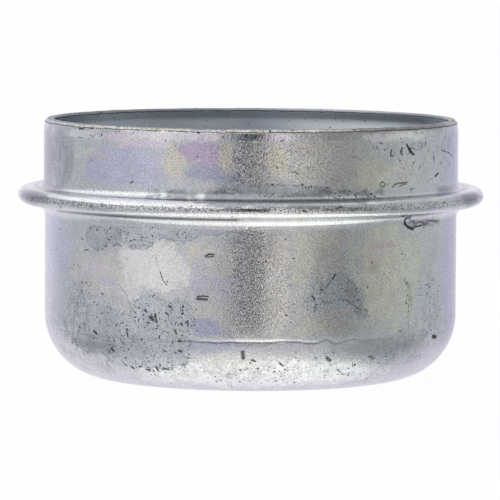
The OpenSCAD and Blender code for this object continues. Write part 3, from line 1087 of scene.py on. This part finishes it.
def zinc_plate(surface):
    """Bright zinc plate with a rainbow tint, grain, worn grey patches, pits and scratches."""
    material = bpy.data.materials.new("zinc_plated_steel")
    material.use_nodes = True
    g = Graph(material.node_tree)
    p = Patterns(g)
    in_dull = worn_depth(g, p)
    dull = g.steps(in_dull, *IN_WORN)
    hollow = g.times(burr_of(g, p), BURR_COVER)
    hollow = g.most(pitted(g, p, dull, in_dull), hollow, clamp=True)
    marks = g.most(hollow, marks_on(g, front_of(g, p), surface), clamp=True)
    # The inside's pale film, laid out as painted light, also takes the metal away.
    haze = g.attribute("haze")

    cover = g.times(dull, DULL_COVER)
    tint = g.mix(cover, plate_colour(g, p), worn_colour(g, p, in_dull))
    tint = dirtied_and_shaded(g, p, rim_colour(g, p, tint))
    tint = inside_colour(g, p, tint, haze)
    tint = g.mix(g.times(marks, PIT_COVER), tint, PIT)
    shader = g.add("BsdfPrincipled", {
        "Base Color": tint, "Metallic": g.minus(1.0, haze),
        "Roughness": roughness(g, dull, marks), "Normal": bumps(g, p, dull, hollow),
    })
    g.add("OutputMaterial", {"Surface": shader}, None)
    return material


def inside_film_and_light(plain, kinds):
    """The dry film inside, laid out as painted light: pale below the lead-in, palest at the right
    of the back wall, and thin at the top, which leaves painted shade there.
    """
    inner = np.isin(kinds, ("inner", "floor"))
    z = plain[:, 2]
    across = np.where(plain[:, 1] < 0, -plain[:, 0], plain[:, 0])
    least = np.interp(across, *zip(*HAZE_LOW_LEAST))
    share = np.clip((LEAD_Z - z + HAZE_TOP) / HAZE_TOP_FADE, HAZE_LEAST, 1)
    share *= np.clip((z - HAZE_LOW_Z) / HAZE_LOW_FADE, least, 1)
    haze = share * np.interp(across, *zip(*INSIDE_FILM_AS_LIGHT))
    haze += HAZE_WAVER * noise_at(plain * HAZE_STRETCH, *HAZE_NOISE)
    return np.clip(np.where(inner, haze, 0), 0, 1)


def speckle_of(places, surface, bead, face, dull, lip, wobble):
    """How speckled the plate is: less on the bead and round the corner, more where worn."""
    speckle = share_of(places, surface, SPECKLED, wobble * SPECKLE_WOBBLE)
    speckle *= np.where(bead, BEAD_SHARE, np.where(places[2] < CORNER_R, CORNER_SHARE, 1))
    speckle = np.maximum(BASE_SPECKLE, speckle)
    speckle = np.maximum(speckle, WORN_SPECKLE * np.clip(dull + SPECKLE_REACH, 0, 1))
    return np.maximum(speckle, FACE_SPECKLE * face) * (1 - lip)


def finish_of(plain, kinds, surface):
    """What the material needs to know at each point: its colour, and layers of single values."""
    angles = np.arctan2(plain[:, 0], -plain[:, 1])
    heights = plain[:, 2]
    places = (angles, np.hypot(plain[:, 0], plain[:, 1]), heights)
    wobble = sum(amount * noise_at(plain, scale, seed) for amount, scale, seed in WOBBLE)
    inside = np.isin(kinds, ("inner", "floor"))
    bead = heights > UNDER_Z - LOWER_ROOT * BEAD_BELOW
    bead &= heights < SEAT_Z + UPPER_ROOT * BEAD_ABOVE
    face = face_of(places)
    ring, strength = ring_track(places, surface)
    shown = np.clip(strength, 0, 1)
    # Painted shade below the draw ring's step, and a painted highlight along its lip.
    groove_shade = GROOVE_SHADE * np.exp(-(((ring + GROOVE_DOWN) / GROOVE_H) ** 2)) * shown
    lip = LIP_HIGHLIGHT * np.exp(-((ring / LIP_H) ** 2)) * shown
    dull, shade = worn_at(places, surface, wobble)
    speckle = speckle_of(places, surface, bead, face, dull, lip, wobble)
    pits = np.maximum(share_of(places, surface, PITTED, wobble), BEAD_PITS * face)
    pits = np.maximum(pits, np.where(kinds == "end", END_PITS, 0))
    dirt_and_shade = share_of(places, surface, DIRTY, wobble * DIRT_WOBBLE)
    # Real dirt together with the dark line below the bead and the painted shade in the seat's
    # crease and the draw ring's groove.
    dirt_and_shade = np.maximum(crease_darkening_at(places, surface), np.maximum(groove_shade, dirt_and_shade))
    layers = {
        "inside": inside,
        "haze": inside_film_and_light(plain, kinds),
        "dull": np.where(inside, FAR_OUT, dull),
        "dull_shade": shade,
        "pits": np.where(inside, INSIDE_PITS, pits),
        "scuffs": np.where(inside, 0, share_of(places, surface, SCUFFS, wobble)),
        "edge": np.select([kinds == "land", kinds == "rim"], [ON_LAND, ON_CHAMFER], 0.0),
        "grime": np.where(inside, 0, dirt_and_shade),
        "speckle": np.where(inside, BASE_SPECKLE, speckle),
        "burnished": np.where(bead | (heights > LEAD_Z), 1.0, lip),
        "stained": np.where(inside, INSIDE_STAIN, share_of(places, surface, STAINED, wobble)),
    }
    # Painted highlight: the bead's underside and the draw ring's lip are brightened towards the
    # near-white polished colour.
    highlight_share = np.maximum(burnish_and_highlight_of(places, surface), lip)[:, None]
    tint = tint_of(places, surface, wobble)
    tint += (np.array(COLOURS["polished"]) - tint) * highlight_share
    return tint * (1 - FACE_DARK * face)[:, None], layers


def add_layer(mesh, name, kind, field, values):
    """A value for each of the mesh's points, which the material reads by name."""
    layer = mesh.attributes.new(name, kind, "POINT")
    layer.data.foreach_set(field, np.asarray(values, np.float32).ravel())


def make_cap():
    points, faces, kinds = plain_cap()
    surface = Surface(points, faces)
    plain = np.array(points, float)
    kinds = np.array(kinds)
    cap = make_object("worn_cap", points, faces)
    normals = np.array([v.normal for v in cap.data.vertices], float)
    worn = relief(plain, normals, kinds, surface)
    cap.data.vertices.foreach_set("co", (worn * MM).ravel())
    cap.data.update()

    tint, layers = finish_of(plain, kinds, surface)
    for name, values in layers.items():
        add_layer(cap.data, name, "FLOAT", "value", values)
    add_layer(cap.data, "pressed", "FLOAT_VECTOR", "vector", plain)
    add_layer(cap.data, "tint", "FLOAT_COLOR", "color", np.insert(tint, 3, 1.0, axis=1))
    cap.data.materials.append(zinc_plate(surface))
    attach(cap, "root")
    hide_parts("grease_cap")


def white_floor():
    """A pale floor that keeps a soft shadow. Metal looks through it to the studio's lower half."""
    s = FLOOR_HALF
    mesh = bpy.data.meshes.new("floor")
    corners = [(-s, -s, FLOOR_Z), (s, -s, FLOOR_Z), (s, s, FLOOR_Z), (-s, s, FLOOR_Z)]
    mesh.from_pydata(corners, [], [(0, 1, 2, 3)])
    floor = bpy.data.objects.new("floor", mesh)
    bpy.context.collection.objects.link(floor)
    material = bpy.data.materials.new("white floor")
    material.use_nodes = True
    g = Graph(material.node_tree)
    paper = g.add("BsdfDiffuse", {"Color": (PAPER, PAPER, PAPER)})
    white = g.add("Emission", {"Color": (1, 1, 1), "Strength": 1.0})
    seen = g.add("MixShader", {0: FLOOR_WHITENESS, 1: paper, 2: white})
    clear = g.add("BsdfTransparent")
    glossy = g.add("LightPath", (), "Is Glossy Ray")
    shader = g.add("MixShader", {0: glossy, 1: seen, 2: clear})
    g.add("OutputMaterial", {"Surface": shader}, None)
    mesh.materials.append(material)


def light_ring(g, turn, stops):
    """Light that changes round the horizon, from stops in degrees."""
    ramp = g.add("ValToRGB", {0: turn}, None)
    elements = ramp.color_ramp.elements
    while len(elements) < len(stops):
        elements.new(0.5)
    for element, (degrees, light) in zip(elements, stops):
        element.position = degrees / 360 + 0.5
        element.color = (*light, 1.0)
    return ramp.outputs[0]


def studio():
    """White for the camera. Metal sees a light tent with a gap at the camera's side."""
    world = bpy.data.worlds.new("studio")
    bpy.context.scene.world = world
    world.use_nodes = True
    g = Graph(world.node_tree)
    away = g.add("TexCoord", (), "Generated")
    axes = g.add("SeparateXYZ", {0: away}, None).outputs
    turn = g.math("ARCTAN2", axes["X"], g.times(axes["Y"], -1.0))
    turn = g.times_plus(turn, 0.5 / math.pi, 0.5)
    up = axes["Z"]

    gap = band(g, turn, 0.5, GAP_HALF / 360, GAP_SOFT / 360)
    light = g.mix(gap, light_ring(g, turn, WALL_LIGHT), GAP_LIGHT)
    light = g.mix(g.steps(up, SKIRT_FROM, SKIRT_TO), light, light_ring(g, turn, SKIRT_LIGHT))
    sides = g.times(g.math("ABSOLUTE", axes["X"]), GROUND_DROP)
    low = g.plus(up, sides)
    light = g.mix(g.steps(low, GROUND_FROM, GROUND_TO), light, light_ring(g, turn, GROUND_LIGHT))
    ceiling = light_ring(g, turn, CEILING_LIGHT)
    light = g.mix(g.steps(up, CEILING_FROM, CEILING_TO), light, ceiling)
    light = g.mix(g.steps(up, ZENITH_FROM, ZENITH_TO), light, ZENITH_LIGHT)
    camera = g.add("LightPath", (), "Is Camera Ray")
    light = g.mix(camera, light, (1, 1, 1))
    background = g.add("Background", {"Color": light, "Strength": 1.0})
    g.add("OutputWorld", {"Surface": background}, None)


make_camera()
make_cap()
white_floor()
studio()
bpy.context.scene.view_settings.view_transform = "Standard"
